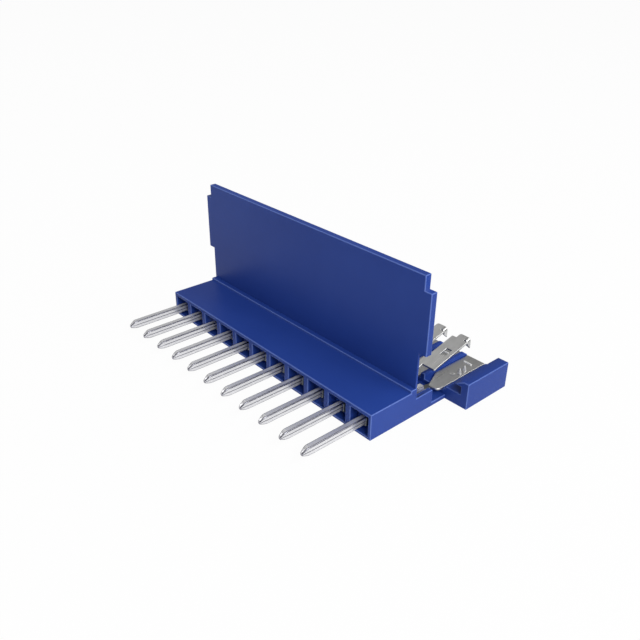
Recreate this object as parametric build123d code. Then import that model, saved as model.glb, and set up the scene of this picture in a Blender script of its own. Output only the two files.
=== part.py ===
"""Flexible printed circuit connector: eleven crimp contacts in one moulding with a hinged cover.

Millimetres. X runs along the row of contacts, Y from the pins towards the flex, Z up.
The origin is on the underside, in the middle of the row, below the front face of the open cover.
"""

import os

from build123d import *

# Row of contacts
WAYS = 11
PITCH = 2.54
END_MARGIN = 1.3

# Block that holds the contacts
BLOCK_FRONT = 5.0
BLOCK_HEIGHT = 2.41
CAVITY_WIDTH = 1.98
CAVITY_FLOOR = 0.22
CAVITY_ROOF = 0.37
RECESS_DEPTH = 0.9
DIAPHRAGM = 0.6
RIDGE_DEPTH = 0.5
RIDGE_RISE = 0.24

# Tray under the blades
FLOOR = 0.4
TRAY_START = 3.91
TRAY_END = 9.8
PLATFORM_TOP = 0.8
RIB_TOP = 1.3
RIB_CLEARANCE = 0.04
RIB_CHAMFER = 0.1
RIB_LEAD_IN = 0.4
RIB_LEAD_IN_DROP = 0.3
END_WALL = 0.5
END_WALL_LENGTH = 2.0
END_WALL_TOP = 1.65

# Ears that take the ends of the closed cover
EAR_REACH = 2.25
EAR_END = 9.36
EAR_HEIGHT = 2.46
SHELF_TOP = 1.2
SLOT_HEIGHT = 0.73
SLOT_DEPTH = 1.5
LIP_TOP_REACH = 1.05
LIP_UNDER_REACH = 1.45
LEAD_IN_ACROSS = 0.58
LEAD_IN_ALONG = 0.66

# Cover and its moulded hinge
COVER_THICKNESS = 0.634
COVER_BOTTOM = 5.94
COVER_SHOULDER = 11.32
COVER_TOP = 12.58
WING_OVERHANG = 0.725
BAND_OVERHANG = 0.02
WEB_THICKNESS = 0.2
WEB_END_INSET = 0.06

# Sheet and folded pin of a contact
SHEET = 0.2
BEND_RADIUS = 0.25
PIN_LENGTH = 5.85
PIN_WIDTH = 0.53
PIN_HEIGHT = 0.735
PIN_CORNER = 0.09
PIN_BOTTOM = 0.74
SEAM_WIDTH = 0.05
SEAM_DEPTH = 0.25
TIP_SIDE_TAPER = 0.73
TIP_TOP_TAPER = 0.5
TIP_WIDTH = 0.27
TIP_LOW = 0.12
TIP_HIGH = 0.38
SHOULDER_WIDTH = 0.68
SHOULDER_LENGTH = 0.4
SHOULDER_DROP = 0.055
SHANK_REACH = 2.1
SLOT_CLEARANCE = 0.02

# Formed channel of a contact inside the block
CHANNEL_LEFT = 0.85
CHANNEL_RIGHT = 0.45
CHANNEL_SETBACK = 0.1
CHANNEL_TOP = 1.94
ARM_INNER = 0.35

# Blade on the platform
BLADE_WIDTH = 1.96
BLADE_SETBACK = 0.06
BLADE_NOSE = 3.2
BLADE_NOSE_CORNER = 0.65
BLADE_FLANK_LENGTH = 2.15
NECK_LEFT = 0.62
NECK_WIDTH = 0.6
NECK_JOG = 0.4
NECK_BEND = 2.85
NECK_RISE = 0.65
NECK_LAP = 0.4
TINE_HEIGHT = 0.5
TINE_BASE = 0.22
TINE_POINT = 0.1
TINE_THICKNESS = 0.14
TINE_OFFSET = 0.52
TINE_PLACE = 3.45
TINE_SPACING = 0.68
LANCE_WIDTH = 0.9
LANCE_DEPTH = 0.12
LANCE_RISE = 0.08
LANCE_PLACE = 5.32

# Jaw above the blade and the arm that carries it
ARM_BEND = 0.25
ARM_JOG = 2.0
ARM_WIDTH = 0.58
ARM_OUTER = 1.2
JAW_FRONT = 2.95
JAW_FRONT_TOP = 2.94
JAW_LEFT = 0.98
JAW_RIGHT = 0.68
JAW_STEP = 0.95
JAW_NOTCH = 7.15
JAW_TIP = 7.72
JAW_TIP_TOP = 4.18
JAW_BEND_RADIUS = 1.0
TIP_LEFT = 0.54
TIP_CORNER = 0.18
CORNER = 0.15
TOOTH_RIGHT = 0.6
TOOTH_FRONT = 7.22
TOOTH_POINT = 3.12
TOOTH_SLANT = 0.45
RELIEF = 0.1
WINDOW_LEFT = 0.26
WINDOW_RIGHT = 0.27
WINDOW_FRONT = 4.75
WINDOW_LENGTH = 0.85
TANG_INSET = 0.06
TANG_LENGTH = 0.42
TANG_DROP = 0.35

# Places worked out from the sizes above
HALF_LENGTH = (WAYS - 1) * PITCH / 2 + END_MARGIN
BLOCK_REAR = WEB_THICKNESS
CAVITY_TOP = BLOCK_HEIGHT - CAVITY_ROOF
RIDGE_TOP = BLOCK_HEIGHT + RIDGE_RISE
DIAPHRAGM_FRONT = RECESS_DEPTH - BLOCK_FRONT
DIAPHRAGM_REAR = DIAPHRAGM_FRONT + DIAPHRAGM
SLOT_ROOF = SHELF_TOP + SLOT_HEIGHT
EAR_OUTER = HALF_LENGTH + EAR_REACH
PIN_TOP = PIN_BOTTOM + PIN_HEIGHT
PIN_TIP = -BLOCK_FRONT - PIN_LENGTH
SHANK_END = BLOCK_REAR + SHANK_REACH
CHANNEL_START = DIAPHRAGM_REAR + CHANNEL_SETBACK
CHANNEL_END = BLOCK_REAR - CHANNEL_SETBACK
BASE_MIDDLE = PIN_BOTTOM - SHEET / 2
ARM_MIDDLE = CHANNEL_TOP - SHEET / 2
ARM_START = BLOCK_REAR + ARM_BEND
BLADE_TOP = PLATFORM_TOP + SHEET
BLADE_END = TRAY_END - BLADE_SETBACK
JAW_SLOPE = (JAW_TIP_TOP - JAW_FRONT_TOP) / (JAW_TIP - JAW_FRONT)
TOOTH_BEND = TOOTH_RIGHT - BEND_RADIUS - SHEET / 2
CONTACT_PLACES = [(way - (WAYS - 1) / 2) * PITCH for way in range(WAYS)]


def across(profile, left, right):
    """Extrude a profile drawn in Y and Z along the row, from left to right."""
    return extrude(Plane.YZ.offset(left) * profile, amount=right - left)


def along(profile, front, rear):
    """Extrude a profile drawn in X and Z from front to rear."""
    return extrude(Plane.XZ.offset(-front) * profile, amount=front - rear)


def upright(outline, bottom, top):
    """Extrude an outline drawn in X and Y from bottom to top."""
    return extrude(Plane.XY.offset(bottom) * outline, amount=top - bottom)


def sharp(*points):
    """Make a closed face with sharp corners."""
    return make_face(Polyline(*points, close=True))


def rounded(points, radii):
    """Make a closed face with one radius for each corner."""
    return make_face(FilletPolyline(*points, radius=radii, close=True))


def bar(left, right, front, rear, bottom, top):
    """Make a straight bar between six faces."""
    return upright(sharp((left, front), (right, front), (right, rear), (left, rear)), bottom, top)


def bent_sheet(points, radii):
    """Make the edge view of a bent sheet from the corners of its middle line."""
    return trace(FilletPolyline(*points, radius=radii), line_width=SHEET)


def plane_through(first, second, third):
    """Make the plane through three points."""
    start, side, other = Vector(*first), Vector(*second), Vector(*third)
    return Plane(origin=start, x_dir=side - start, z_dir=(side - start).cross(other - start))


def block_and_tray():
    """Make the block, its ridge and the tray from one side profile."""
    profile = sharp(
        (-BLOCK_FRONT, 0),
        (TRAY_END, 0),
        (TRAY_END, PLATFORM_TOP),
        (TRAY_START, PLATFORM_TOP),
        (TRAY_START, FLOOR),
        (BLOCK_REAR, FLOOR),
        (BLOCK_REAR, RIDGE_TOP),
        (-RIDGE_DEPTH, RIDGE_TOP),
        (-RIDGE_DEPTH, BLOCK_HEIGHT),
        (-BLOCK_FRONT, BLOCK_HEIGHT),
    )
    return across(profile, -HALF_LENGTH, HALF_LENGTH)


def cavity():
    """Make the space of one contact in the block: front recess, slot for the pin, rear chamber."""
    half = CAVITY_WIDTH / 2
    slot_half = PIN_WIDTH / 2 + SLOT_CLEARANCE
    slot_bottom = PIN_BOTTOM - SLOT_CLEARANCE
    slot_top = PIN_TOP + SLOT_CLEARANCE
    recess = bar(-half, half, -BLOCK_FRONT, DIAPHRAGM_FRONT, CAVITY_FLOOR, CAVITY_TOP)
    slot = bar(-slot_half, slot_half, DIAPHRAGM_FRONT, DIAPHRAGM_REAR, slot_bottom, slot_top)
    chamber = bar(-half, half, DIAPHRAGM_REAR, BLOCK_REAR, CAVITY_FLOOR, CAVITY_TOP)
    return recess + slot + chamber


def rib():
    """Make the rib between two blades, chamfered along its top and lowered where the flex enters."""
    half = (PITCH - BLADE_WIDTH) / 2 - RIB_CLEARANCE
    profile = sharp(
        (TRAY_START, PLATFORM_TOP),
        (TRAY_END, PLATFORM_TOP),
        (TRAY_END, RIB_TOP - RIB_LEAD_IN_DROP),
        (TRAY_END - RIB_LEAD_IN, RIB_TOP),
        (TRAY_START, RIB_TOP),
    )
    body = across(profile, -half, half)
    return chamfer(body.edges().filter_by(Axis.Y).group_by(Axis.Z)[-1], RIB_CHAMFER)


def right_end():
    """Make the right end wall and low rib, and the ear: a shelf, a slot for the wing and a lip over it."""
    wall = bar(HALF_LENGTH - END_WALL, HALF_LENGTH, BLOCK_REAR, BLOCK_REAR + END_WALL_LENGTH, FLOOR, END_WALL_TOP)
    low_rib = END_MARGIN - BLADE_WIDTH / 2 - RIB_CLEARANCE
    wall += bar(HALF_LENGTH - low_rib, HALF_LENGTH, TRAY_START, TRAY_END, PLATFORM_TOP, BLADE_TOP)
    slot_wall = HALF_LENGTH + SLOT_DEPTH
    shelf = sharp(
        (HALF_LENGTH, 0),
        (EAR_OUTER, 0),
        (EAR_OUTER, SLOT_ROOF),
        (slot_wall, SLOT_ROOF),
        (slot_wall, SHELF_TOP),
        (HALF_LENGTH, SHELF_TOP),
    )
    lip_top = EAR_OUTER - LIP_TOP_REACH
    lip_under = EAR_OUTER - LIP_UNDER_REACH
    lip = sharp(
        (lip_under, SLOT_ROOF),
        (EAR_OUTER, SLOT_ROOF),
        (EAR_OUTER, EAR_HEIGHT),
        (lip_top, EAR_HEIGHT),
    )
    lead_in = plane_through(
        (lip_top, TRAY_START + LEAD_IN_ALONG, EAR_HEIGHT),
        (lip_top + LEAD_IN_ACROSS, TRAY_START, EAR_HEIGHT),
        (lip_under, TRAY_START, SLOT_ROOF),
    )
    lip_body = split(along(lip, TRAY_START, EAR_END), bisect_by=lead_in, keep=Keep.TOP)
    return wall + along(shelf, TRAY_START, EAR_END) + lip_body


def housing():
    """Make the base moulding that holds every contact."""
    body = block_and_tray()
    body -= [Pos(X=place) * cavity() for place in CONTACT_PLACES]
    body += [Pos(X=place + PITCH / 2) * rib() for place in CONTACT_PLACES[:-1]]
    end = right_end()
    return body + end + mirror(end, about=Plane.YZ)


def hinge_web():
    """Make the thin moulded hinge that stands on the ridge."""
    half = HALF_LENGTH - WEB_END_INSET
    return bar(-half, half, 0, WEB_THICKNESS, RIDGE_TOP, COVER_BOTTOM)


def cover_flap():
    """Make the cover, with wings below and a narrower band along its free edge."""
    wing = HALF_LENGTH + WING_OVERHANG
    band = HALF_LENGTH + BAND_OVERHANG
    outline = sharp(
        (-wing, COVER_BOTTOM),
        (wing, COVER_BOTTOM),
        (wing, COVER_SHOULDER),
        (band, COVER_SHOULDER),
        (band, COVER_TOP),
        (-band, COVER_TOP),
        (-band, COVER_SHOULDER),
        (-wing, COVER_SHOULDER),
    )
    return along(outline, 0, COVER_THICKNESS)


def pin():
    """Make the folded pin and shank, with a coined tip, the fold's seam and a stop shoulder."""
    section = chamfer(Rectangle(PIN_WIDTH, PIN_HEIGHT).vertices(), PIN_CORNER)
    half = PIN_WIDTH / 2
    from_above = sharp(
        (-TIP_WIDTH / 2, PIN_TIP),
        (TIP_WIDTH / 2, PIN_TIP),
        (half, PIN_TIP + TIP_SIDE_TAPER),
        (half, SHANK_END),
        (-half, SHANK_END),
        (-half, PIN_TIP + TIP_SIDE_TAPER),
    )
    from_side = sharp(
        (PIN_TIP, PIN_BOTTOM + TIP_LOW),
        (PIN_TIP + TIP_TOP_TAPER, PIN_BOTTOM),
        (SHANK_END, PIN_BOTTOM),
        (SHANK_END, PIN_TOP),
        (PIN_TIP + TIP_TOP_TAPER, PIN_TOP),
        (PIN_TIP, PIN_BOTTOM + TIP_HIGH),
    )
    body = along(Pos(Y=PIN_BOTTOM + PIN_HEIGHT / 2) * section, PIN_TIP, SHANK_END)
    body &= upright(from_above, PIN_BOTTOM, PIN_TOP)
    body &= across(from_side, -half, half)
    shoulder_front = DIAPHRAGM_FRONT - SHOULDER_LENGTH
    body -= bar(
        -SEAM_WIDTH / 2, SEAM_WIDTH / 2, PIN_TIP, shoulder_front, PIN_BOTTOM, PIN_BOTTOM + SEAM_DEPTH
    )
    shoulder = bar(
        -SHOULDER_WIDTH / 2,
        SHOULDER_WIDTH / 2,
        shoulder_front,
        DIAPHRAGM_FRONT,
        PIN_BOTTOM - SHEET,
        PIN_TOP - SHOULDER_DROP,
    )
    return body + shoulder


def channel():
    """Make the formed channel round the shank, inside the rear chamber."""
    left = SHEET / 2 - CHANNEL_LEFT
    corners = [(CHANNEL_RIGHT, BASE_MIDDLE), (left, BASE_MIDDLE), (left, ARM_MIDDLE), (-ARM_INNER, ARM_MIDDLE)]
    return along(bent_sheet(corners, BEND_RADIUS), CHANNEL_START, CHANNEL_END)


def neck():
    """Make the neck that jogs and rises from the channel to the blade."""
    start = CHANNEL_END - SHEET
    rise_end = NECK_BEND + NECK_RISE
    end = rise_end + NECK_LAP
    side_view = bent_sheet(
        [
            (start, BASE_MIDDLE),
            (NECK_BEND, BASE_MIDDLE),
            (rise_end, BLADE_TOP - SHEET / 2),
            (end, BLADE_TOP - SHEET / 2),
        ],
        BEND_RADIUS,
    )
    right = NECK_WIDTH - NECK_LEFT
    from_above = sharp(
        (-NECK_LEFT, start),
        (right, start),
        (right, NECK_BEND),
        (right + NECK_JOG, rise_end),
        (right + NECK_JOG, end),
        (NECK_JOG - NECK_LEFT, end),
        (NECK_JOG - NECK_LEFT, rise_end),
        (-NECK_LEFT, NECK_BEND),
    )
    return across(side_view, -NECK_LEFT, right + NECK_JOG) & upright(from_above, 0, BLADE_TOP)


def blade():
    """Make the blade with its neck, the two piercing tines and the pressed bar."""
    half = BLADE_WIDTH / 2
    outline = rounded(
        [
            (0, BLADE_NOSE),
            (half, BLADE_NOSE),
            (half, BLADE_END),
            (-half, BLADE_END),
            (-half, BLADE_NOSE + BLADE_FLANK_LENGTH),
        ],
        [CORNER, BLADE_NOSE_CORNER, 0, 0, 0],
    )
    body = upright(outline, PLATFORM_TOP, BLADE_TOP) + neck()
    for count in range(2):
        front = BLADE_NOSE + TINE_PLACE + count * TINE_SPACING
        tine = sharp(
            (TINE_OFFSET - TINE_BASE / 2, BLADE_TOP),
            (TINE_OFFSET + TINE_BASE / 2, BLADE_TOP),
            (TINE_OFFSET + TINE_POINT / 2, BLADE_TOP + TINE_HEIGHT),
            (TINE_OFFSET - TINE_POINT / 2, BLADE_TOP + TINE_HEIGHT),
        )
        body += along(tine, front, front + TINE_THICKNESS)
    lance_front = BLADE_NOSE + LANCE_PLACE
    body += bar(
        -LANCE_WIDTH / 2, LANCE_WIDTH / 2, lance_front, lance_front + LANCE_DEPTH, BLADE_TOP, BLADE_TOP + LANCE_RISE
    )
    return body


def jaw_outline():
    """Make the jaw and its arm as seen from above."""
    arm_right = ARM_WIDTH - ARM_OUTER
    step_end = JAW_FRONT + JAW_STEP
    return rounded(
        [
            (-CHANNEL_LEFT, CHANNEL_END - SHEET),
            (-ARM_INNER, CHANNEL_END - SHEET),
            (-ARM_INNER, ARM_START),
            (arm_right, BLOCK_REAR + ARM_JOG),
            (arm_right, JAW_FRONT),
            (JAW_RIGHT, JAW_FRONT),
            (JAW_RIGHT, TOOTH_FRONT - RELIEF),
            (TOOTH_BEND, TOOTH_FRONT - RELIEF),
            (TOOTH_BEND, JAW_TIP),
            (TIP_CORNER - TIP_LEFT, JAW_TIP),
            (-TIP_LEFT, JAW_TIP - TIP_CORNER),
            (-TIP_LEFT, JAW_NOTCH),
            (-JAW_LEFT, JAW_NOTCH),
            (-JAW_LEFT, step_end),
            (-ARM_OUTER, step_end),
            (-ARM_OUTER, BLOCK_REAR + ARM_JOG),
            (-CHANNEL_LEFT, ARM_START),
        ],
        [0, 0, 0, 0, 0, CORNER, 0, 0, 0, 0, 0, 0, 0, 0, 0, 0, 0],
    )


def jaw_middle(place):
    """Give the height of the sloping sheet's middle at a distance along Y."""
    return JAW_FRONT_TOP - SHEET / 2 + JAW_SLOPE * (place - JAW_FRONT)


def tooth():
    """Make the tooth: the right side of the tip, folded down and cut to a point at the rear."""
    middle = TOOTH_RIGHT - SHEET / 2
    top = jaw_middle(TOOTH_FRONT)
    fold = trace(
        FilletPolyline((TOOTH_BEND - SHEET, top), (middle, top), (middle, 0), radius=BEND_RADIUS),
        line_width=SHEET * (1 + JAW_SLOPE**2) ** 0.5,
    )
    strip = extrude(
        Plane.XZ.offset(-TOOTH_FRONT) * fold, amount=JAW_TIP - TOOTH_FRONT, dir=(0, 1, JAW_SLOPE)
    )
    side_view = sharp(
        (TOOTH_FRONT, TOOTH_POINT + TOOTH_SLANT),
        (JAW_TIP, TOOTH_POINT),
        (JAW_TIP, JAW_TIP_TOP + SHEET),
        (TOOTH_FRONT, JAW_TIP_TOP + SHEET),
    )
    return strip & across(side_view, TOOTH_BEND - SHEET, TOOTH_RIGHT + SHEET)


def jaw():
    """Make the raised jaw: arm, sloping sheet, folded tooth, window and lanced tang."""
    path = [
        (CHANNEL_END - SHEET, ARM_MIDDLE),
        (ARM_START, ARM_MIDDLE),
        (JAW_FRONT, jaw_middle(JAW_FRONT)),
        (JAW_TIP + SHEET, jaw_middle(JAW_TIP + SHEET)),
    ]
    body = across(bent_sheet(path, [BEND_RADIUS, JAW_BEND_RADIUS]), -ARM_OUTER, JAW_RIGHT)
    body &= upright(jaw_outline(), 0, JAW_TIP_TOP + SHEET)
    window_rear = WINDOW_FRONT + WINDOW_LENGTH
    body -= bar(-WINDOW_LEFT, WINDOW_RIGHT, WINDOW_FRONT, window_rear, ARM_MIDDLE, JAW_TIP_TOP)
    tang_path = [
        (WINDOW_FRONT - SHEET, jaw_middle(WINDOW_FRONT - SHEET)),
        (WINDOW_FRONT, jaw_middle(WINDOW_FRONT)),
        (WINDOW_FRONT + TANG_LENGTH, jaw_middle(WINDOW_FRONT) - TANG_DROP),
    ]
    tang = across(bent_sheet(tang_path, 0), TANG_INSET - WINDOW_LEFT, WINDOW_RIGHT - TANG_INSET)
    return body + tang + tooth()


def contact():
    """Make one contact, stamped and folded from one strip."""
    return pin() + channel() + blade() + jaw()


def write(node, shape):
    """Write one node to its own file."""
    export_step(shape, f"parts/{node}.step")


def main():
    """Write every node of the connector."""
    os.makedirs("parts", exist_ok=True)
    write("housing", housing())
    write("hinge_web", hinge_web())
    write("cover_flap", cover_flap())
    one_contact = contact()
    for number, place in enumerate(CONTACT_PLACES, start=1):
        write(f"contact_{number:02d}", Pos(X=place) * one_contact)


main()
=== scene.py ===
"""Dresses the flexible printed circuit connector for its studio picture.

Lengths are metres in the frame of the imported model: X along the row, Y towards the flex, Z up.
"""

import logging
import math
from collections.abc import Iterator
from contextlib import contextmanager
from dataclasses import dataclass, field, replace
from enum import Enum

import bmesh
import bpy
import numpy as np
from bpy.types import ID, Material, Mesh, Node, NodeSocket, Object, World
from mathutils import Matrix, Vector


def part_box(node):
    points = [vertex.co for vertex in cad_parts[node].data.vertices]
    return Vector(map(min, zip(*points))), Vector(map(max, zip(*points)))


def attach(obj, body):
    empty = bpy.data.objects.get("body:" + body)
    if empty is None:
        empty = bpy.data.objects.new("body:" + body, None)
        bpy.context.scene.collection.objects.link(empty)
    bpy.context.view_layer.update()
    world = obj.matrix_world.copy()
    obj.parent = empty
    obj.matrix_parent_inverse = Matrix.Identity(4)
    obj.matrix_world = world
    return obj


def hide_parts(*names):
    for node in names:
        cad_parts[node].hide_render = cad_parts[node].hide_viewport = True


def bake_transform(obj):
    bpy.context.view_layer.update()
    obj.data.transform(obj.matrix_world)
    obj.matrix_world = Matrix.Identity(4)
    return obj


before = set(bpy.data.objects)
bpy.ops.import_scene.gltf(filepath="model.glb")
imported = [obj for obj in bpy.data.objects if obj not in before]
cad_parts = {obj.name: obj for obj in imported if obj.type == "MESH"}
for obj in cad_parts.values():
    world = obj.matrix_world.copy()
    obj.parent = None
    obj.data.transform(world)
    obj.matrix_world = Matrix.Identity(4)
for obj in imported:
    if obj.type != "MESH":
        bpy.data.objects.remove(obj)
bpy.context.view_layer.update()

Triple = tuple[float, float, float]

LOG = logging.getLogger("connector")
MM = 0.001
# Turn of a surface, in radians, that stays sharp in the shading, and one that counts as flat.
SHARP_TURN = math.radians(36)
FLAT_TURN = math.radians(0.5)
# Corners closer than this are one corner, in the unit of the mesh.
SAME_PLACE = 1e-7
# Two edges whose directions agree more than this run on as one, for the room of a rounding.
SMOOTH_CHAIN = 0.8
# Clear length beside an edge that a whole rounding takes, in widths of the rounding.
ROUNDING_ROOM = 2.4
# Range of a noise value that is spread over the whole of a colour or number range.
NOISE_RANGE = (0.3, 0.7)
NOISE_ROUGHNESS = 0.55
# Points round a tine or bar, and points along a rounding that closes or bends a small form.
RING_POINTS = 16
EASE_POINTS = 6


class Slot(Enum):
    """The finishes that the record names."""

    MOULDING = "blue_moulding"
    PLATING = "plated_contact"


class Body(Enum):
    """The two bodies that the cover's hinge joins."""

    BASE = "base"
    COVER = "cover"


@dataclass(frozen=True)
class Shell:
    """A closed or open surface before it goes into a mesh.

    Attributes:
        points: Corner places, one row each.
        quads: Four corner numbers for each face.
    """

    points: np.ndarray
    quads: np.ndarray


def grid_quads(rows: int, columns: int, wrap: bool = False) -> np.ndarray:
    """Number the faces of a grid of points.

    Args:
        rows: Points along the first parameter.
        columns: Points along the second parameter.
        wrap: Whether the last column joins the first.

    Returns:
        Four corner numbers for each face, in grid order.
    """
    across = columns if wrap else columns - 1
    row, column = np.meshgrid(np.arange(rows - 1), np.arange(across), indexing="ij")
    here = row * columns + column
    beside = row * columns + (column + 1) % columns
    return np.stack([here, beside, beside + columns, here + columns], axis=-1).reshape(-1, 4)


def surface(x: np.ndarray, y: np.ndarray, z: np.ndarray, wrap: bool = False) -> Shell:
    """Make a surface from the places of a grid of points.

    Args:
        x: Places along X, of the grid's shape or of one that spreads over it.
        y: Places along Y, likewise.
        z: Heights, likewise.
        wrap: Whether the last column joins the first.

    Returns:
        The surface.
    """
    points = np.stack(np.broadcast_arrays(x, y, z), axis=-1)
    return Shell(points.reshape(-1, 3), grid_quads(*points.shape[:2], wrap))


def joined(shells: list[Shell]) -> Shell:
    """Put several surfaces into one list of points and faces.

    Args:
        shells: The surfaces.

    Returns:
        One surface with all their points and faces.
    """
    starts = np.cumsum([0] + [len(shell.points) for shell in shells[:-1]])
    quads = [shell.quads + start for shell, start in zip(shells, starts)]
    return Shell(np.concatenate([shell.points for shell in shells]), np.concatenate(quads))


def rounded_path(corners: np.ndarray, radii: list[float], arc_points: int) -> np.ndarray:
    """Round the corners of a flat path with arcs.

    At each corner the arc starts where the two runs are radius times tan(half the turn) away, and
    its points turn evenly about the arc's centre, which lies on the line that halves the corner.

    Args:
        corners: Corner places in two dimensions, one row each.
        radii: One radius for each inner corner.
        arc_points: Points on each arc.

    Returns:
        The places along the rounded path, one row each.
    """
    pieces = [corners[:1]]
    for corner, before, after, radius in zip(corners[1:-1], corners[:-2], corners[2:], radii):
        arriving = (corner - before) / np.linalg.norm(corner - before)
        leaving = (after - corner) / np.linalg.norm(after - corner)
        cross = arriving[0] * leaving[1] - arriving[1] * leaving[0]
        turn = math.atan2(cross, float(arriving @ leaving))
        side = math.copysign(1.0, turn)
        start = corner - arriving * radius * math.tan(abs(turn) / 2)
        centre = start + side * radius * np.array([-arriving[1], arriving[0]])
        angle = np.linspace(0.0, turn, arc_points)
        spoke = start - centre
        quarter = np.array([-spoke[1], spoke[0]])
        pieces.append(centre + np.cos(angle)[:, None] * spoke + np.sin(angle)[:, None] * quarter)
    pieces.append(corners[-1:])
    return np.concatenate(pieces)


def subdivided(path: np.ndarray, step: float) -> np.ndarray:
    """Add points so that no run of a path is longer than a step.

    Args:
        path: Places along the path, one row each.
        step: The longest run allowed.

    Returns:
        The path with evenly spaced points added on its long runs.
    """
    lengths = np.linalg.norm(np.diff(path, axis=0), axis=1)
    counts = np.maximum(1, np.ceil(lengths / step).astype(int))
    runs = zip(path[:-1], path[1:], counts)
    pieces = [np.linspace(a, b, count, endpoint=False) for a, b, count in runs]
    return np.concatenate(pieces + [path[-1:]])


def placed(name: str, data: ID) -> Object:
    """Put a mesh, lamp or camera into the scene.

    Args:
        name: The object's name.
        data: The mesh, lamp or camera.

    Returns:
        The new object.
    """
    piece = bpy.data.objects.new(name, data)
    bpy.context.scene.collection.objects.link(piece)
    return piece


def to_object(name: str, shell: Shell, smooth: bool = True) -> Object:
    """Put a surface into a new object of the scene.

    Args:
        name: The object's name.
        shell: The surface.
        smooth: Whether its faces are shaded smooth.

    Returns:
        The new object, at the origin.
    """
    mesh = bpy.data.meshes.new(name)
    mesh.from_pydata(shell.points.tolist(), [], shell.quads.tolist())
    mesh.polygons.foreach_set("use_smooth", np.full(len(mesh.polygons), smooth))
    mesh.update()
    return placed(name, mesh)


@contextmanager
def editing(mesh: Mesh) -> Iterator[bmesh.types.BMesh]:
    """Open a mesh for editing, and put it back with its faces turned outward.

    Args:
        mesh: The mesh.

    Yields:
        The mesh in the form that can be edited.
    """
    shape = bmesh.new()
    shape.from_mesh(mesh)
    yield shape
    bmesh.ops.recalc_face_normals(shape, faces=shape.faces)
    shape.to_mesh(mesh)
    shape.free()


def settle(piece: Object) -> Object:
    """Apply every modifier of a piece to its mesh.

    Args:
        piece: The piece.

    Returns:
        The piece.
    """
    depsgraph = bpy.context.evaluated_depsgraph_get()
    finished = bpy.data.meshes.new_from_object(piece.evaluated_get(depsgraph))
    old = piece.data
    piece.modifiers.clear()
    piece.data = finished
    bpy.data.meshes.remove(old)
    return piece


def round_edges(piece: Object, width: float, segments: int, finish_index: int) -> None:
    """Round the edges of a piece that carry a bevel weight.

    Args:
        piece: The piece.
        width: Width of the rounding.
        segments: Faces across the rounding.
        finish_index: Material slot of the new faces, or -1 for that of their neighbours.
    """
    bevel = piece.modifiers.new("edges", "BEVEL")
    bevel.width = width
    bevel.segments = segments
    bevel.limit_method = "WEIGHT"
    bevel.use_clamp_overlap = False
    bevel.material = finish_index


def even_shading(piece: Object) -> Object:
    """Let the large faces lead the shading, and keep sharp turns sharp.

    Args:
        piece: The piece.

    Returns:
        The piece, with its modifiers applied.
    """
    settle(piece)
    mesh = piece.data
    mesh.polygons.foreach_set("use_smooth", np.full(len(mesh.polygons), True))
    mesh.set_sharp_from_angle(angle=SHARP_TURN)
    leading = piece.modifiers.new("shading", "WEIGHTED_NORMAL")
    leading.keep_sharp = True
    return settle(piece)


def weigh_edges(
    shape: bmesh.types.BMesh, least_turn: float, width: float, square_height: float | None = None
) -> None:
    """Give a bevel weight to the outward edges that turn enough to be rounded.

    The faces are turned outward first. The weight is one, or less where an edge that meets it is
    too short for the whole width.

    Args:
        shape: The mesh being edited.
        least_turn: Smallest turn between the two faces, in radians.
        width: Width of the rounding at a weight of one.
        square_height: Height at which level edges stay square, where another piece joins.
    """
    bmesh.ops.recalc_face_normals(shape, faces=shape.faces)
    weight = shape.edges.layers.float.new("bevel_weight_edge")
    room = ROUNDING_ROOM * width
    turned = {edge for edge in shape.edges if edge.is_manifold and edge.calc_face_angle() > least_turn}
    for edge in turned:
        level = square_height is not None and all(
            abs(corner.co.z - square_height) < SAME_PLACE for corner in edge.verts
        )
        if level or not edge.is_convex:
            continue
        way = (edge.verts[1].co - edge.verts[0].co).normalized()
        limits = [room]
        for near in (near for corner in edge.verts for near in corner.link_edges if near is not edge):
            step = near.verts[1].co - near.verts[0].co
            if near not in turned:
                limits.append(step.length)
            elif abs(step.normalized().dot(way)) < SMOOTH_CHAIN:
                limits.append(2 * edge.calc_length())
        edge[weight] = min(limits) / room


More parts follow.
